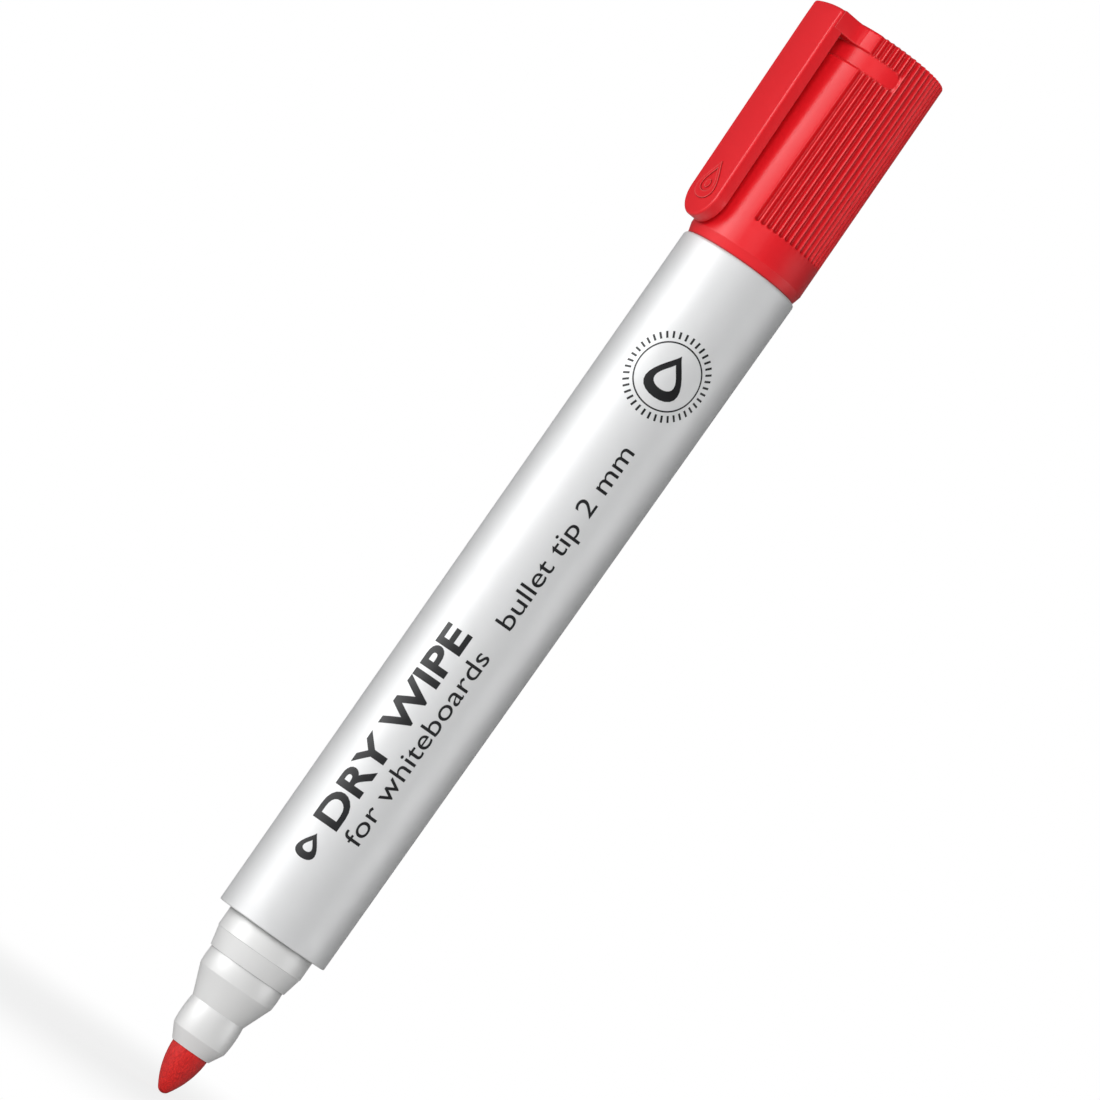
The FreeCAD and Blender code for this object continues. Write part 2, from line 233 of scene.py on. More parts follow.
def roundTheMarker(degrees, distance, height):
    # a place round the marker: 0 degrees is towards the camera and positive is to its right
    turn = math.radians(shot["azimuth"] + degrees)
    return Vector((math.sin(turn) * distance, -math.cos(turn) * distance, height))


def makeCamera():
    data = bpy.data.cameras.new("sideCamera")
    data.lens, data.sensor_width = shot["lens"], shot["sensor"]
    data.clip_start, data.clip_end = shot["clip"]
    camera = bpy.data.objects.new("sideCamera", data)
    bpy.context.collection.objects.link(camera)
    aim = roundTheMarker(90, shot["aimSide"], shot["aimHeight"])
    camera.matrix_world = aimed(roundTheMarker(0, shot["distance"], shot["height"]), aim, shot["roll"])
    bpy.context.scene.camera = camera


makeCamera()
print("camera in place")

softLights = {
    # name: degrees right of the camera, distance, height, width, tall, watts, lights what
    "keyBox": (-64, 700, 90, 800, 560, 3.3, "all"),
    "leftStrip": (-64, 700, 110, 110, 620, 1.1, "gloss"),
    "frontBox": (-6, 1100, 330, 600, 500, 8.2, "shade"),
    "rightBox": (80, 620, 60, 400, 150, 0.5, "gloss"),
    "backBox": (160, 800, 300, 600, 500, 3.0, "shade"),
    "topBox": (150, 300, 1100, 500, 500, 1.0, "shade"),
}
lightAim = Vector((0, 0, 80))
room = {"seen": (1, 1, 1, 1), "colour": (0.98, 0.99, 1.0, 1), "strength": 0.12}


def makeLights():
    for name, (degrees, distance, height, width, tall, watts, part) in softLights.items():
        data = bpy.data.lights.new(name, "AREA")
        data.shape, data.size, data.size_y = "RECTANGLE", width * mm, tall * mm
        data.energy = watts
        light = bpy.data.objects.new(name, data)
        light.visible_diffuse = part != "gloss"
        light.visible_glossy = part != "shade"
        bpy.context.collection.objects.link(light)
        light.matrix_world = aimed(roundTheMarker(degrees, distance, height), lightAim)


def makeRoom():
    world = bpy.data.worlds.new("studio")
    world.use_nodes = True
    bpy.context.scene.world = world
    nodes, links = world.node_tree.nodes, world.node_tree.links
    nodes.clear()
    out, mix = nodes.new("ShaderNodeOutputWorld"), nodes.new("ShaderNodeMixShader")
    rays = nodes.new("ShaderNodeLightPath")
    seen, lit = nodes.new("ShaderNodeBackground"), nodes.new("ShaderNodeBackground")
    seen.inputs["Color"].default_value = room["seen"]
    lit.inputs["Color"].default_value = room["colour"]
    lit.inputs["Strength"].default_value = room["strength"]
    links.new(rays.outputs["Is Camera Ray"], mix.inputs["Fac"])
    links.new(lit.outputs[0], mix.inputs[1])
    links.new(seen.outputs[0], mix.inputs[2])
    links.new(mix.outputs[0], out.inputs[0])
    bpy.context.scene.view_settings.view_transform = "Standard"


floorLook = {
    "radius": 6000.0,
    "paleFrom": 10.0,
    "paleTo": 130.0,
    "leastGlow": 0.8,
    "colour": (0.6, 0.6, 0.595, 1),
}


def makeFloor():
    # takes the marker's shadow close by, and turns to plain white further out
    form = bmesh.new()
    bmesh.ops.create_circle(form, cap_ends=True, segments=96, radius=floorLook["radius"] * mm)
    floor = finishedPiece("studioFloor", form)
    material = bpy.data.materials.new("floorPaper")
    material.use_nodes = True
    nodes, links = material.node_tree.nodes, material.node_tree.links
    nodes.clear()
    out, mix = nodes.new("ShaderNodeOutputMaterial"), nodes.new("ShaderNodeMixShader")
    paper, white = nodes.new("ShaderNodeBsdfDiffuse"), nodes.new("ShaderNodeEmission")
    paper.inputs["Color"].default_value = floorLook["colour"]
    white.inputs["Color"].default_value = (1, 1, 1, 1)
    place, distance = nodes.new("ShaderNodeNewGeometry"), nodes.new("ShaderNodeVectorMath")
    fade = nodes.new("ShaderNodeMapRange")
    fade.interpolation_type = "SMOOTHSTEP"
    distance.operation = "LENGTH"
    fade.inputs["From Min"].default_value = floorLook["paleFrom"] * mm
    fade.inputs["From Max"].default_value = floorLook["paleTo"] * mm
    fade.inputs["To Min"].default_value = floorLook["leastGlow"]
    rays, glow = nodes.new("ShaderNodeLightPath"), nodes.new("ShaderNodeMath")
    glow.operation = "MULTIPLY"
    links.new(place.outputs["Position"], distance.inputs[0])
    links.new(distance.outputs["Value"], fade.inputs["Value"])
    links.new(fade.outputs["Result"], glow.inputs[0])
    links.new(rays.outputs["Is Camera Ray"], glow.inputs[1])
    links.new(glow.outputs[0], mix.inputs["Fac"])
    links.new(paper.outputs[0], mix.inputs[1])
    links.new(white.outputs[0], mix.inputs[2])
    links.new(mix.outputs[0], out.inputs["Surface"])
    floor.data.materials.append(material)
    floor.location.z = cadBox[0][2]


makeLights()
makeRoom()
makeFloor()
print("studio in place")


def newGroup(name, inputs, outputs):
    group = bpy.data.node_groups.new(name, "ShaderNodeTree")
    for label, default in inputs:
        socket = group.interface.new_socket(label, in_out="INPUT", socket_type="NodeSocketFloat")
        socket.default_value = default
    for label in outputs:
        group.interface.new_socket(label, in_out="OUTPUT", socket_type="NodeSocketFloat")
    return group, group.nodes.new("NodeGroupInput"), group.nodes.new("NodeGroupOutput")


def feed(tree, socket, entry):
    if isinstance(entry, (int, float)):
        socket.default_value = entry
    elif isinstance(entry, tuple):
        socket.default_value = (*entry, 1)
    else:
        tree.links.new(entry, socket)


def noiseNode(tree, vector, scale, detail=2.0):
    node = tree.nodes.new("ShaderNodeTexNoise")
    node.inputs["Detail"].default_value = detail
    feed(tree, node.inputs["Scale"], scale)
    tree.links.new(vector, node.inputs["Vector"])
    return node.outputs["Fac"]


def mathNode(tree, operation, a, b):
    node = tree.nodes.new("ShaderNodeMath")
    node.operation = operation
    feed(tree, node.inputs[0], a)
    feed(tree, node.inputs[1], b)
    return node.outputs[0]


def spreadNode(tree, number, fromLow, fromHigh, toLow=0.0, toHigh=1.0):
    node = tree.nodes.new("ShaderNodeMapRange")
    entries = (number, fromLow, fromHigh, toLow, toHigh)
    for socket, entry in zip(node.inputs, entries):
        feed(tree, socket, entry)
    return node.outputs["Result"]


def mixColour(tree, mask, first, second):
    node = tree.nodes.new("ShaderNodeMix")
    node.data_type = "RGBA"
    feed(tree, node.inputs["Factor"], mask)
    feed(tree, node.inputs["A"], first)
    feed(tree, node.inputs["B"], second)
    return node.outputs["Result"]


skinPattern = {"slow": 160.0, "smear": 420.0, "marks": (0.12, 0.4), "waviness": 0.6, "grainDetail": 3.0}


def makeMouldedSkin():
    # fine mould texture, slow waviness and faint handling marks of an injection moulding
    group, given, out = newGroup(
        "mouldedSkin",
        [("Grain Scale", 9000.0), ("Roughness Low", 0.3), ("Roughness High", 0.4)],
        ["Roughness", "Height", "Tone"],
    )
    place = group.nodes.new("ShaderNodeTexCoord").outputs["Object"]
    grain = noiseNode(group, place, given.outputs["Grain Scale"], skinPattern["grainDetail"])
    slow = noiseNode(group, place, skinPattern["slow"])
    smear = noiseNode(group, place, skinPattern["smear"])
    marks = mathNode(group, "MULTIPLY", slow, smear)
    limits = given.outputs["Roughness Low"], given.outputs["Roughness High"]
    rough = spreadNode(group, marks, *skinPattern["marks"], *limits)
    height = mathNode(group, "ADD", grain, mathNode(group, "MULTIPLY", slow, skinPattern["waviness"]))
    group.links.new(rough, out.inputs["Roughness"])
    group.links.new(height, out.inputs["Height"])
    group.links.new(slow, out.inputs["Tone"])
    return group


rubAndHighlightPattern = {"samples": 6, "agreement": (0.998, 0.96), "detail": 4.0, "breakup": (0.35, 0.6, 0.6, 1.0)}


def makeEdgeRubAndHighlight():
    # a mask of edges, found where a rounded normal leaves the true one, broken up by noise; the lighter
    # colour it lays on edges is a painted highlight line with a little rubbed wear
    group, given, out = newGroup("edgeRubAndHighlight", [("Width", 0.0001), ("Breakup Scale", 700.0)], ["Mask"])
    bevel = group.nodes.new("ShaderNodeBevel")
    bevel.samples = rubAndHighlightPattern["samples"]
    feed(group, bevel.inputs["Radius"], given.outputs["Width"])
    place = group.nodes.new("ShaderNodeTexCoord")
    agreement = group.nodes.new("ShaderNodeVectorMath")
    agreement.operation = "DOT_PRODUCT"
    group.links.new(bevel.outputs["Normal"], agreement.inputs[0])
    normal = group.nodes.new("ShaderNodeNewGeometry")
    group.links.new(normal.outputs["Normal"], agreement.inputs[1])
    edge = spreadNode(group, agreement.outputs["Value"], *rubAndHighlightPattern["agreement"])
    scale = given.outputs["Breakup Scale"]
    patches = noiseNode(group, place.outputs["Object"], scale, rubAndHighlightPattern["detail"])
    breakup = spreadNode(group, patches, *rubAndHighlightPattern["breakup"])
    group.links.new(mathNode(group, "MULTIPLY", edge, breakup), out.inputs["Mask"])
    return group


def makePaintedCreaseShade():
    # a mask of painted shade in grooves and inside corners, strongest where ambient occlusion finds them
    # closed in
    group, given, out = newGroup("paintedCreaseShade", [("Reach", 0.0005), ("Open", 0.92), ("Closed", 0.4)], ["Mask"])
    openness = group.nodes.new("ShaderNodeAmbientOcclusion")
    openness.samples = 8
    feed(group, openness.inputs["Distance"], given.outputs["Reach"])
    edges = given.outputs["Open"], given.outputs["Closed"]
    group.links.new(spreadNode(group, openness.outputs["AO"], *edges), out.inputs["Mask"])
    return group


fibrePattern = {"stretch": (1, 1, 0.12), "detail": 3.0, "tone": (0.75, 1.25)}


def makeFibreGrain():
    # strands along the axis with a speckle of cut fibre ends
    group, given, out = newGroup(
        "fibreGrain", [("Strand Scale", 9000.0), ("Speckle Scale", 14000.0)], ["Tone", "Height"]
    )
    place = group.nodes.new("ShaderNodeTexCoord").outputs["Object"]
    stretch = group.nodes.new("ShaderNodeMapping")
    stretch.inputs["Scale"].default_value = fibrePattern["stretch"]
    group.links.new(place, stretch.inputs["Vector"])
    scale = given.outputs["Strand Scale"]
    strands = noiseNode(group, stretch.outputs["Vector"], scale, fibrePattern["detail"])
    speckle = noiseNode(group, place, given.outputs["Speckle Scale"])
    height = mathNode(group, "ADD", strands, speckle)
    group.links.new(height, out.inputs["Height"])
    group.links.new(spreadNode(group, height, *fibrePattern["tone"]), out.inputs["Tone"])
    return group


mouldedSkin = makeMouldedSkin()
edgeRubAndHighlight = makeEdgeRubAndHighlight()
paintedCreaseShade = makePaintedCreaseShade()
fibreGrain = makeFibreGrain()


def newMaterial(name):
    material = bpy.data.materials.new(name)
    material.use_nodes = True
    return material, material.node_tree, material.node_tree.nodes["Principled BSDF"]


def placed(tree, group, **values):
    node = tree.nodes.new("ShaderNodeGroup")
    node.node_tree = group
    for label, number in values.items():
        node.inputs[label.replace("_", " ")].default_value = number
    return node.outputs


def addBump(tree, shader, height, strength, distance):
    bump = tree.nodes.new("ShaderNodeBump")
    bump.inputs["Strength"].default_value = strength
    bump.inputs["Distance"].default_value = distance * mm
    tree.links.new(height, bump.inputs["Height"])
    tree.links.new(bump.outputs["Normal"], shader.inputs["Normal"])


# the fourth colour of each finish is painted shade for grooves and inside corners
# the third colour of each finish is a painted highlight for edges, with a little rubbed wear
plastics = {
    "capRed": {
        "colour": (0.82, 0.012, 0.020),
        "deep": (0.80, 0.013, 0.020),
        "rubbedAndHighlit": (0.97, 0.26, 0.24),
        "paintedShadeColour": (0.22, 0.003, 0.004),
        "rubAndHighlight": 0.00012,
        "rough": (0.32, 0.37),
        "metallic": 0.0,
        "specular": 0.55,
        "grain": 9000.0,
        "bump": (0.12, 0.01),
    },
    "barrelSilverWhite": {
        "colour": (0.84, 0.845, 0.85),
        "deep": (0.82, 0.825, 0.83),
        "rubbedAndHighlit": (0.95, 0.95, 0.95),
        "paintedShadeColour": (0.35, 0.35, 0.35),
        "rough": (0.46, 0.52),
        "metallic": 0.3,
        "grain": 12000.0,
        "bump": (0.10, 0.01),
    },
    "sectionWhite": {
        "colour": (0.91, 0.91, 0.905),
        "deep": (0.89, 0.89, 0.885),
        "rubbedAndHighlit": (1.0, 1.0, 1.0),
        "paintedShadeColour": (0.40, 0.40, 0.40),
        "rough": (0.42, 0.48),
        "metallic": 0.25,
        "rubAndHighlight": 0.00022,
        "grain": 8000.0,
        "bump": (0.08, 0.01),
    },
    "linerNatural": {
        "colour": (0.74, 0.74, 0.70),
        "deep": (0.68, 0.68, 0.64),
        "rubbedAndHighlit": (0.85, 0.85, 0.83),
        "paintedShadeColour": (0.40, 0.40, 0.37),
        "rough": (0.40, 0.52),
        "metallic": 0.0,
        "grain": 7000.0,
        "bump": (0.10, 0.01),
    },
    "wrapFilm": {
        "colour": (0.70, 0.72, 0.76),
        "deep": (0.62, 0.64, 0.69),
        "rubbedAndHighlit": (0.85, 0.86, 0.88),
        "paintedShadeColour": (0.45, 0.46, 0.50),
        "rough": (0.12, 0.22),
        "metallic": 0.0,
        "grain": 3000.0,
        "bump": (0.05, 0.02),
    },
}


def makePlastic(name):
    look = plastics[name]
    material, tree, shader = newMaterial(name)
    low, high = look["rough"]
    skin = placed(tree, mouldedSkin, Grain_Scale=look["grain"], Roughness_Low=low, Roughness_High=high)
    rubAndHighlight = placed(tree, edgeRubAndHighlight, Width=look.get("rubAndHighlight", 0.0001))
    tone = mixColour(tree, skin["Tone"], look["deep"], look["colour"])
    # lightens the edges: painted highlight lines, with a little rubbed wear
    tone = mixColour(tree, rubAndHighlight["Mask"], tone, look["rubbedAndHighlit"])
    # darkens grooves and inside corners towards a painted shade colour
    tone = mixColour(tree, placed(tree, paintedCreaseShade)["Mask"], tone, look["paintedShadeColour"])
    tree.links.new(tone, shader.inputs["Base Color"])
    tree.links.new(skin["Roughness"], shader.inputs["Roughness"])
    shader.inputs["Metallic"].default_value = look["metallic"]
    shader.inputs["Specular IOR Level"].default_value = look.get("specular", 0.5)
    addBump(tree, shader, skin["Height"], *look["bump"])
    return material


fibres = {
    "nibFelt": {"colour": (0.90, 0.028, 0.022), "deep": (0.42, 0.004, 0.006), "bump": (0.6, 0.06)},
    "inkFibre": {"colour": (0.50, 0.015, 0.02), "deep": (0.28, 0.006, 0.01), "bump": (0.6, 0.08)},
}
fibreRough = (0.45, 0.65)


def makeFibre(name):
    look = fibres[name]
    material, tree, shader = newMaterial(name)
    grain = placed(tree, fibreGrain)
    tree.links.new(mixColour(tree, grain["Tone"], look["deep"], look["colour"]), shader.inputs["Base Color"])
    tree.links.new(spreadNode(tree, grain["Tone"], 0, 1, *fibreRough), shader.inputs["Roughness"])
    addBump(tree, shader, grain["Height"], *look["bump"])
    return material


blackInk = {
    "colour": (0.016, 0.016, 0.018),
    "deep": (0.006, 0.006, 0.007),
    "rough": (0.34, 0.46),
    "grain": 6000.0,
    "bump": (0.1, 0.01),
}


def makePrintInk():
    material, tree, shader = newMaterial("printInk")
    low, high = blackInk["rough"]
    grain = blackInk["grain"]
    skin = placed(tree, mouldedSkin, Grain_Scale=grain, Roughness_Low=low, Roughness_High=high)
    colour = mixColour(tree, skin["Tone"], blackInk["deep"], blackInk["colour"])
    tree.links.new(colour, shader.inputs["Base Color"])
    tree.links.new(skin["Roughness"], shader.inputs["Roughness"])
    addBump(tree, shader, skin["Height"], *blackInk["bump"])
    return material


finishes = {name: makePlastic(name) for name in plastics}
finishes.update({name: makeFibre(name) for name in fibres})
finishes["printInk"] = makePrintInk()
print("materials made")


def dress(piece, finish, slot, *nodes):
    piece.data.materials.append(finishes[finish])
    if nodes:
        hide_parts(*nodes)
    return piece


tube = {
    "front": barrelLow.z,
    "rear": barrelHigh.z,
    "frontRadius": 7.64,
    "rearRadius": barrelHigh.y,
    "bore": plugHigh.y,
    "frontWall": 1.6,
    "frontHole": 5.6,
    "frontRound": 0.16,
    "rearRound": 0.42,
    "boreRound": 0.08,
}


def tubeRadius(height):
    share = (height - tube["front"]) / (tube["rear"] - tube["front"])
    return tube["frontRadius"] + (tube["rearRadius"] - tube["frontRadius"]) * share


def makeBarrel():
    wallEnd = tube["front"] + tube["frontWall"]
    outline = roundedOutline(
        [
            (tube["frontHole"], tube["front"]),
            (tube["frontRadius"], tube["front"], tube["frontRound"]),
            (tube["rearRadius"], tube["rear"], tube["rearRound"]),
            (tube["bore"], tube["rear"], tube["boreRound"]),
            (tube["bore"], wallEnd),
            (tube["frontHole"], wallEnd),
        ]
    )
    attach(dress(turned("barrelTube", outline), "barrelSilverWhite", "barrel", "barrel"), "pen")


makeBarrel()
print("barrel made")

section = {
    # (radius, height) from the nib backwards
    "lip": (2.67, sectionLow.z),
    "noseFront": (3.7, 7.95),
    "noseRear": (3.7, 11.9),
    "bandFront": (5.2, 15.66),
    "bandRear": (5.2, 18.05),
    "collarFront": (5.4, 18.05),
    "collarRear": (5.95, 20.5),
    "seatRadius": sectionHigh.y,
    "shankRadius": 5.6,
    "shankBore": 4.4,
    "nibBore": 2.52,
    "boreEnd": 17.0,
    "shankBoreStart": 18.7,
    "noseBow": 15.0,
    "bandBow": 12.0,
    "crisp": 0.05,
    "collarRound": 0.04,
    "seatRound": 0.06,
    "sharpAngle": 50,
}


def makeFrontSection():
    s = section
    seatStart = s["collarRear"][1] + s["seatRadius"] - s["collarRear"][0]
    corners = [(s["nibBore"], s["lip"][1]), (*s["lip"], s["crisp"]), (*s["noseFront"], s["crisp"])]
    corners += bowed(s["noseFront"], s["noseRear"], s["noseBow"])
    corners += [(*s["noseRear"], s["crisp"]), (*s["bandFront"], s["crisp"])]
    corners += bowed(s["bandFront"], s["bandRear"], s["bandBow"])
    corners += [
        s["bandRear"],
        (*s["collarFront"], s["collarRound"]),
        (*s["collarRear"], s["collarRound"]),
        (s["seatRadius"], seatStart, s["seatRound"]),
        (s["seatRadius"], tube["front"], s["seatRound"]),
        (s["shankRadius"], tube["front"]),
        (s["shankRadius"], sectionHigh.z),
        (s["shankBore"], sectionHigh.z),
        (s["shankBore"], s["shankBoreStart"]),
        (s["nibBore"], s["boreEnd"]),
    ]
    outline = roundedOutline(corners, steps=4, hold=0.02)
    piece = turned("sectionMoulding", outline, sharpAngle=s["sharpAngle"])
    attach(dress(piece, "sectionWhite", "section", "front_section"), "pen")


makeFrontSection()
print("front section made")

bullet = {
    "radius": nibHigh.y,
    "shoulder": 6.1,
    "pointEdge": 0.75,
    "pointRadius": 0.9,
    "flankRadius": 11.0,
    "ridge": 0.014,
    "ridgeScale": 26.0,
    "strandStretch": 0.8,
    "fleckStretch": 9,
    "fleckShare": 0.6,
    "rearChamfer": 0.3,
    "columns": 260,
    "pointSteps": 10,
    "flankSteps": 44,
}


def makeNib():
    # a fibre rod ground to a bullet point
    b = bullet
    edge = (b["pointEdge"], b["pointRadius"] - math.sqrt(b["pointRadius"] ** 2 - b["pointEdge"] ** 2))
    shoulder, rear = (b["radius"], b["shoulder"]), nibHigh.z
    chamfer = b["rearChamfer"]
    outline = [(0, 0)] + bowed((0, 0), edge, b["pointRadius"], b["pointSteps"]) + [edge]
    outline += bowed(edge, shoulder, b["flankRadius"], b["flankSteps"]) + [shoulder]
    outline += [(b["radius"], rear - chamfer), (b["radius"] - chamfer, rear), (0, rear)]

    def fibreRidges(angle, radius, height):
        if height > b["shoulder"]:
            return radius - b["ridge"], height
        around = Vector((math.cos(angle), math.sin(angle), 0)) * b["ridgeScale"]
        strand = noise.noise(around + Vector((0, 0, height * b["strandStretch"])))
        fleck = noise.noise(around + Vector((0, 0, height * b["fleckStretch"])))
        return radius - b["ridge"] * (1 + strand + b["fleckShare"] * fleck), height

    angles = between(0, 2 * math.pi, b["columns"])[:-1]
    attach(dress(turned("bulletNib", outline, angles, fibreRidges), "nibFelt", "nib", "nib"), "pen")


makeNib()
print("nib made")

spigot = {
    # seen when the cap is pulled off
    "skirtBore": 5.6,
    "radius": 6.1,
    "cone": 125.4,
    "nose": 127.0,
    "noseRadius": 4.9,
    "endRadius": 4.4,
    "wall": 1.1,
    "gap": 0.02,
    "endRound": 0.25,
    "coneRound": 0.3,
    "rootRound": 0.06,
    "collarRound": 0.12,
    "skirtRound": 0.2,
}


def makeRearPlug():
    s, rear, end = spigot, tube["rear"], plugHigh.z
    skirt = plugHigh.y - s["gap"]
    outline = roundedOutline(
        [
            (0, end),
            (s["endRadius"], end, s["endRound"]),
            (s["noseRadius"], s["nose"], s["coneRound"]),
            (s["radius"], s["cone"], s["coneRound"]),
            (s["radius"], rear, s["rootRound"]),
            (skirt, rear, s["collarRound"]),
            (skirt, plugLow.z, s["skirtRound"]),
            (s["skirtBore"], plugLow.z),
            (s["skirtBore"], rear - 2 * s["wall"]),
            (s["radius"] - s["wall"], rear - s["wall"]),
            (s["radius"] - s["wall"], s["cone"] - s["wall"]),
            (s["noseRadius"] - s["wall"], end - s["wall"]),
            (0, end - s["wall"]),
        ]
    )
    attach(dress(turned("rearPlugMoulding", outline), "sectionWhite", "section", "rear_plug"), "pen")


liner = {"bore": 5.22, "topWall": 1.2, "edge": 0.2, "leadIn": 0.3, "ceilingRound": 0.4}


def makeLiner():
    ceiling = linerHigh.z - liner["topWall"]
    outline = roundedOutline(
        [
            (0, linerHigh.z),
            (linerHigh.y, linerHigh.z, liner["edge"]),
            (linerHigh.y, linerLow.z, liner["edge"]),
            (liner["bore"], linerLow.z, liner["leadIn"]),
            (liner["bore"], ceiling, liner["ceilingRound"]),
            (0, ceiling),
        ]
    )
    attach(dress(turned("linerCup", outline), "linerNatural", "liner", "cap_inner_seal"), "seal")


makeRearPlug()
makeLiner()
print("rear plug and cap liner made")

cap = {
    "mouth": capLow.z,
    "top": capHigh.z,
    "mouthRadius": capHigh.y,
    "topRadius": 7.8,
    "bore": 6.15,
    "topWall": 1.9,
    "chamferDepth": 0.36,
    "chamferLength": 1.3,
    "topRound": 0.36,
    "grooves": 42,
    "firstGroove": 47.6,
    "grooveWidth": 0.76,
    "grooveDepth": 0.54,
    "grooveStart": 5.0,
    "recessDepth": 0.4,
    "recessWidth": 2.4,
    "recessDrop": 2.65,
    "recessHalfAngle": 82.7,
    "wallWidth": 0.13,
    "skin": 0.9,
    "skinFade": 0.35,
    "grooveBlend": 0.012,
    "columns": (0.3, 0.6, 0.85, 1, 1.12),
    "smoothColumns": 72,
    "boreShown": 6.0,
    "boreRound": 0.3,
    "mouthRound": 0.08,
    "chamferRound": 0.15,
    "topRings": (0.15, 0.45, 1.2),
    "sharpAngle": 60,
}
groovePitch = (360 - 2 * cap["firstGroove"]) / (cap["grooves"] - 1)


def capRadius(height):
    share = (height - cap["mouth"]) / (cap["top"] - cap["mouth"])
    return cap["mouthRadius"] + (cap["topRadius"] - cap["mouthRadius"]) * share


def capAngles():
    # columns bunched so that every groove gets the same ones
    half = math.degrees(cap["grooveWidth"] / 2 / cap["topRadius"])
    shares = cap["columns"]
    across = [-share for share in reversed(shares)] + [0, *shares]
    angles = []
    for i in range(cap["grooves"]):
        middle = cap["firstGroove"] + groovePitch * i
        angles += [middle + half * share for share in across]
    angles += between(angles[-1], angles[0] + 360, cap["smoothColumns"])[1:-1]
    return [math.radians(angle + clipSide) for angle in angles]


def grooveAt(fromClip, height):
    # depth share of the nearest groove: a rounded trough with a rounded lower end
    around = fromClip % 360 - cap["firstGroove"]
    nearest = min(max(round(around / groovePitch), 0), cap["grooves"] - 1)
    across = math.radians(around - groovePitch * nearest) * capRadius(height)
    half = cap["grooveWidth"] / 2
    below = max(cap["mouth"] + cap["grooveStart"] + half - height, 0)
    trough = 1 - (across * across + below * below) / (half * half)
    rounded = math.sqrt(trough * trough + cap["grooveBlend"])
    return (trough + rounded) / 2 if trough > -3 else 0.0


def recessAt(fromClip, height):
    # share of the recess depth: 1 inside the oblong, 0 outside, with a steep wall between
    half = cap["recessWidth"] / 2
    away = abs((fromClip + 180) % 360 - 180)
    beyond = math.radians(away - cap["recessHalfAngle"]) * capRadius(height) + half
    middle = cap["top"] - cap["recessDrop"] - half
    outside = math.hypot(max(beyond, 0), height - middle) - half
    return 1 - smoothStep(-cap["wallWidth"], cap["wallWidth"] * 0.6, outside)


def capShape(angle, radius, height):
    outer = capRadius(height) - cap["skin"]
    if radius < outer:
        return radius, height
    fromClip = math.degrees(angle) - clipSide
    share = smoothStep(outer, outer + cap["skinFade"], radius)
    recess = recessAt(fromClip, height)
    groove = grooveAt(fromClip, height) * cap["grooveDepth"]
    return radius - share * (groove * (1 - recess) + cap["recessDepth"] * recess), height


def makeCapShell():
    mouth, top = cap["mouth"], cap["top"]
    ceiling = top - cap["topWall"]
    runOut = mouth + cap["grooveStart"]
    recessHigh = top - cap["recessDrop"] + 0.25
    recessLow = recessHigh - cap["recessWidth"] - 0.5
    # rows close together where the grooves end and round the recess, and far apart elsewhere
    heights = between(mouth + cap["chamferLength"] + 0.4, runOut - 0.1, 3)
    heights += between(runOut, runOut + 0.6, 14)
    heights += between(runOut + 1, recessLow - 0.2, 8)
    heights += between(recessLow, recessHigh, 38)
    heights += between(recessHigh + 0.15, top - cap["topRound"] - 0.1, 3)
    foot = roundedOutline(
        [
            (cap["bore"], ceiling - cap["boreShown"]),
            (cap["bore"], mouth, cap["boreRound"]),
            (cap["mouthRadius"] - cap["chamferDepth"], mouth, cap["mouthRound"]),
            (cap["mouthRadius"], mouth + cap["chamferLength"], cap["chamferRound"]),
            (capRadius(runOut), runOut),
        ]
    )[1:-1]
    corner = (cap["topRadius"], top, cap["topRound"])
    crown = roundedOutline([(capRadius(top - 2), top - 2), corner, (0, top)])[1:-1]
    rim = cap["topRadius"] - cap["topRound"]
    crown += [(rim - inset, top) for inset in cap["topRings"]]
    wall = [(capRadius(height), height) for height in heights]
    outline = [(0, ceiling), (cap["bore"], ceiling)] + foot + wall + crown + [(0, top)]
    piece = turned("capMoulding", outline, capAngles(), capShape, cap["sharpAngle"])
    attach(dress(piece, "capRed", "cap", "cap_shell"), "cap")


makeCapShell()
print("cap shell made")

clip = {
    "halfWidth": clipHigh.y,
    "outer": -clipLow.x,
    "root": clipHigh.z,
    "tip": clipLow.z,
    "top": capHigh.z - 0.06,
    "crown": 0.22,
    "thickness": 1.74,
    "lean": 0.7,
    "rim": 0.32,
    "innerRim": 0.14,
    "bend": 9.0,
    "footSteps": 40,
    "shoulderRound": 0.4,
    "crownSteps": 10,
    "crownFrom": 0.7,
    "bendCuts": 22,
}
bridge = {
    "halfWidth": clip["halfWidth"] + 0.006,
    "outer": clip["outer"] - 0.42,
    "inCap": cap["topRadius"] - 0.04,
    "low": clip["root"] - 0.02,
    "high": clip["top"] - 0.1,
    "lowRound": 0.12,
    "highRound": 0.26,
    "flareStart": 8.6,
    "flareAngle": 35.0,
    "flareBend": 27.0,
    "flareSteps": 10,
    "tail": (1.2, 0.6),
}


def armFace(height):
    # depth of the arm's outer face: it leans towards the cap as it goes down
    return -clip["outer"] + clip["lean"] * max(clip["root"] - height, 0) / (clip["root"] - clip["tip"])


def bendWithClip(piece):
    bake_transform(piece)


def makeClipArm():
    w, tip, top = clip["halfWidth"], clip["tip"], clip["top"]
    foot = [polar(w, degrees) + Vector((0, tip + w)) for degrees in between(0, -180, clip["footSteps"])]
    corner = (-w, top - clip["crown"], clip["shoulderRound"])
    shoulder = roundedOutline([(-w, tip + w), corner, (0, top)], steps=4)[1:-1]
    reach = -w + clip["crownFrom"], w - clip["crownFrom"]
    crown = [(x, top - clip["crown"] * (x / w) ** 2) for x in between(*reach, clip["crownSteps"])]
    mirrored = [(-x, y) for x, y in reversed(shoulder)]
    cuts = between(tip + w + 1, top - 1, clip["bendCuts"])
    arm = plate(
        "clipArm",
        [tuple(point) for point in foot] + shoulder + crown + mirrored,
        0,
        clip["thickness"],
        clip["rim"],
        clip["innerRim"],
        lambda across, height, depth: (armFace(height) + depth, across, height),
        cuts,
    )
    bendWithClip(dress(arm, "capRed", "cap", "cap_clip"))


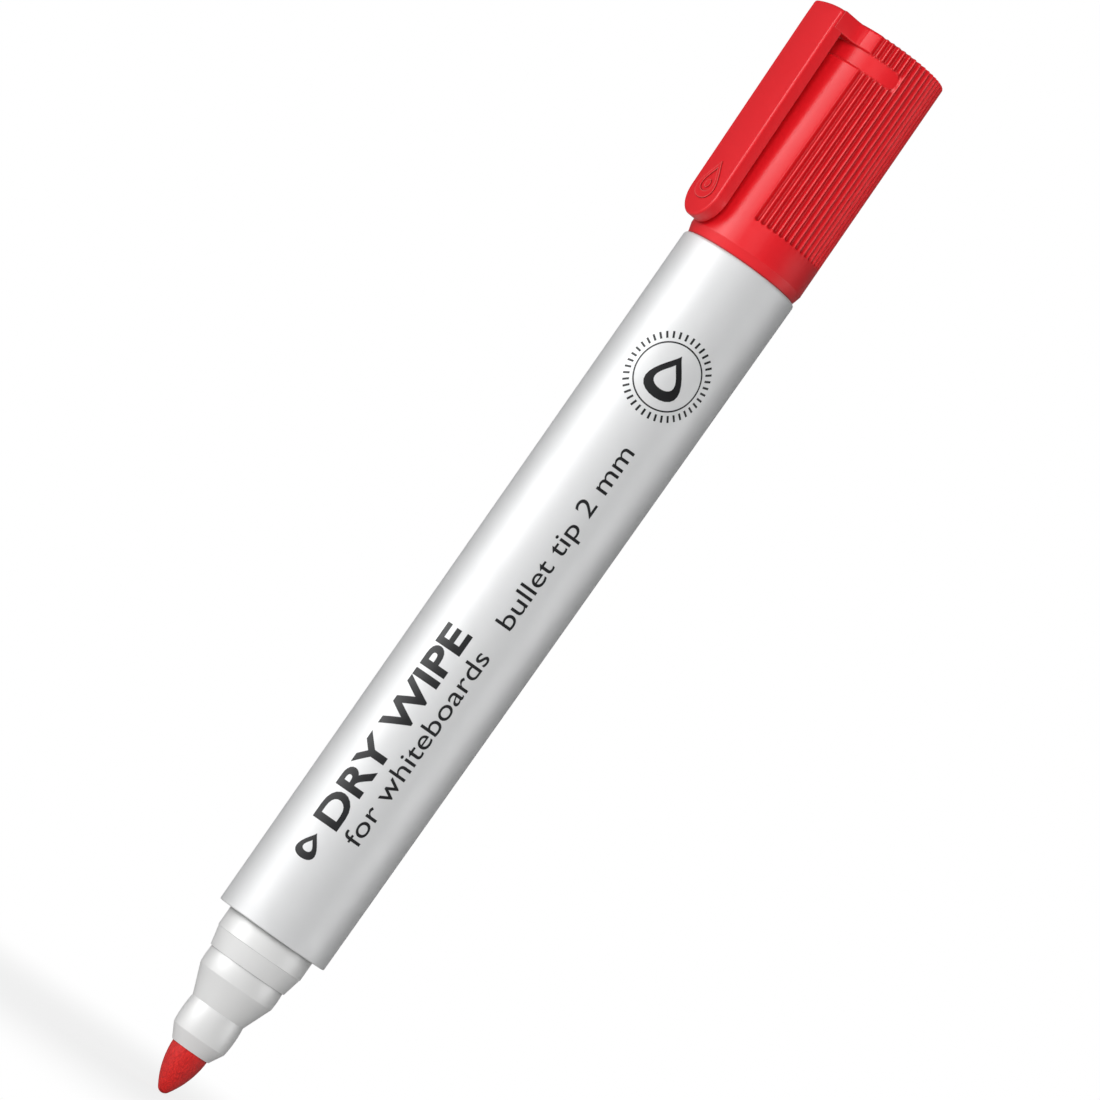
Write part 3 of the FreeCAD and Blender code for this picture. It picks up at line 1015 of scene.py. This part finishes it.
def makeClipBridge():
    # seen from above: straight sides that flare into the cap wall
    b, w = bridge, bridge["halfWidth"]
    start, end = Vector((b["flareStart"], w)), polar(b["inCap"], b["flareAngle"])
    bend = Vector((b["inCap"] * math.cos(math.radians(b["flareBend"])), w))
    shares = between(0, 1, b["flareSteps"])
    flare = [start * (1 - t) ** 2 + bend * 2 * t * (1 - t) + end * t * t for t in shares]
    half = [Vector((b["outer"], w))] + flare + [end - Vector(b["tail"])]
    outline = [(-point.x, point.y) for point in half]
    outline += [(-point.x, -point.y) for point in reversed(half)]
    piece = plate(
        "clipBridge",
        outline,
        b["low"],
        b["high"],
        b["lowRound"],
        b["highRound"],
        lambda x, y, depth: (x, y, depth),
    )
    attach(dress(piece, "capRed", "cap"), "cap")


makeClipArm()
makeClipBridge()
print("clip made")


def dropOutline(size, steps=28):
    # an ink drop, its point towards +X
    points = []
    for turn in between(0, 2 * math.pi, steps)[:-1]:
        width = math.sin(turn) * math.sin(turn / 2) ** 1.6
        points.append(Vector((size * math.cos(turn), size * 1.15 * width)))
    return points


def ringForm(outer, inner):
    # a flat band between two loops of as many points
    form = bmesh.new()
    rims = [[form.verts.new((point.x, point.y, 0)) for point in loop] for loop in (outer, inner)]
    count = len(outer)
    for i in range(count):
        j = (i + 1) % count
        form.faces.new((rims[0][i], rims[0][j], rims[1][j], rims[1][i]))
    return form


def addPatch(form, points):
    form.faces.new([form.verts.new((point.x, point.y, 0)) for point in points])


def wordsForm(words, length, height, weight):
    # flat letters, as long and as tall as wanted
    curve = bpy.data.curves.new("words", "FONT")
    curve.body, curve.offset, curve.resolution_u = words, weight, 5
    holder = bpy.data.objects.new("words", curve)
    mesh = bpy.data.meshes.new_from_object(holder)
    form = bmesh.new()
    form.from_mesh(mesh)
    bpy.data.objects.remove(holder)
    bpy.data.curves.remove(curve)
    bpy.data.meshes.remove(mesh)
    low = [min(vert.co[i] for vert in form.verts) for i in (0, 1)]
    high = [max(vert.co[i] for vert in form.verts) for i in (0, 1)]
    for vert in form.verts:
        vert.co.x = (vert.co.x - low[0]) / (high[0] - low[0]) * length
        vert.co.y = ((vert.co.y - low[1]) / (high[1] - low[1]) - 0.5) * height
    return form


def thicken(form, below, above):
    # gives a flat form a back and side walls
    bmesh.ops.remove_doubles(form, verts=form.verts, dist=flatWeld)
    faces = form.faces[:]
    rim = [edge for edge in form.edges if edge.is_boundary]
    raised = {vert: form.verts.new((vert.co.x, vert.co.y, above)) for vert in form.verts[:]}
    for vert in raised:
        vert.co.z = -below
    for face in faces:
        form.faces.new([raised[vert] for vert in face.verts])
    for edge in rim:
        near, far = edge.verts
        form.faces.new((near, far, raised[far], raised[near]))


inkLayer = {"above": 0.02, "below": 0.03, "slice": 0.35, "sharpAngle": 30}


def printOn(name, form, height, degrees):
    # lays a flat form on the barrel: its +X runs towards the cap, its +Y round to the left
    reach = max(abs(vert.co.y) for vert in form.verts)
    count = max(int(reach / inkLayer["slice"]), 1)
    sliced(form, between(-reach, reach, 2 * count)[1:-1])
    thicken(form, inkLayer["below"], inkLayer["above"])
    for vert in form.verts:
        along, across, proud = vert.co
        radius = tubeRadius(height + along)
        angle = math.radians(facing + degrees) - across / radius
        flat = Vector((math.cos(angle), math.sin(angle))) * (radius + proud)
        vert.co = Vector((flat.x, flat.y, height + along)) * mm
    piece = finishedPiece(name, form, inkLayer["sharpAngle"])
    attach(dress(piece, "printInk", "barrel"), "pen")


prints = {
    # words, from height, middle in degrees right of the camera, length, letter height, weight
    "printedTitle": ("DRY WIPE", 37.8, -19.0, 28.5, 3.75, 0.028),
    "printedUse": ("for whiteboards   bullet tip 2 mm", 37.6, 13.0, 58.0, 3.1, 0.0),
}
smallDrop = {"size": 1.75, "hole": 0.8, "height": 34.6, "degrees": -19.0}
badge = {
    "height": 105.5,
    "degrees": 3.0,
    "ticks": 40,
    "tickWidth": 0.26,
    "tickFrom": 4.75,
    "tickTo": 5.6,
    "lineFrom": 4.15,
    "lineTo": 4.33,
    "drop": 3.0,
    "dropHole": 1.75,
    "lineSteps": 96,
}


def makePrints():
    for name, (words, height, degrees, length, tall, weight) in prints.items():
        printOn(name, wordsForm(words, length, tall, weight), height, degrees)
    mark = ringForm(dropOutline(smallDrop["size"]), dropOutline(smallDrop["hole"]))
    printOn("printedDrop", mark, smallDrop["height"], smallDrop["degrees"])


def makeBadge():
    circle = [polar(1, degrees) for degrees in between(0, 360, badge["lineSteps"])[:-1]]
    outer, inner = ([point * badge[rim] for point in circle] for rim in ("lineTo", "lineFrom"))
    form = ringForm(outer, inner)
    for i in range(badge["ticks"]):
        along = polar(1, 360 * i / badge["ticks"])
        side = Vector((-along.y, along.x)) * badge["tickWidth"] / 2
        near, far = along * badge["tickFrom"], along * badge["tickTo"]
        addPatch(form, (near - side, far - side, far + side, near + side))
    drop = ringForm(dropOutline(badge["drop"]), dropOutline(badge["dropHole"]))
    printOn("printedBadge", form, badge["height"], badge["degrees"])
    printOn("printedBadgeDrop", drop, badge["height"], badge["degrees"])


makePrints()
makeBadge()
print("prints made")

emboss = {
    "height": 128.4,
    "size": 2.6,
    "hole": 1.7,
    "steps": 40,
    "dot": 0.55,
    "dotAlong": -0.6,
    "dotSteps": 24,
    "above": 0.14,
    "below": 0.1,
}


def makeClipEmboss():
    e = emboss
    form = ringForm(dropOutline(e["size"], e["steps"]), dropOutline(e["hole"], e["steps"]))
    middle, turns = Vector((e["dotAlong"], 0)), between(0, 360, e["dotSteps"])[:-1]
    addPatch(form, [polar(e["dot"], degrees) + middle for degrees in turns])
    thicken(form, e["below"], e["above"])
    for vert in form.verts:
        along, across, proud = vert.co
        height = e["height"] + along
        vert.co = Vector((armFace(height) - proud, across, height)) * mm
    bendWithClip(dress(finishedPiece("clipEmboss", form), "capRed", "cap"))


makeClipEmboss()
print("clip emboss made")


def redress(node, finish):
    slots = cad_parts[node].data.materials
    slots.clear()
    slots.append(finishes[finish])


redress("ink_reservoir", "inkFibre")
redress("reservoir_wrap", "wrapFilm")
print("cartridge dressed")
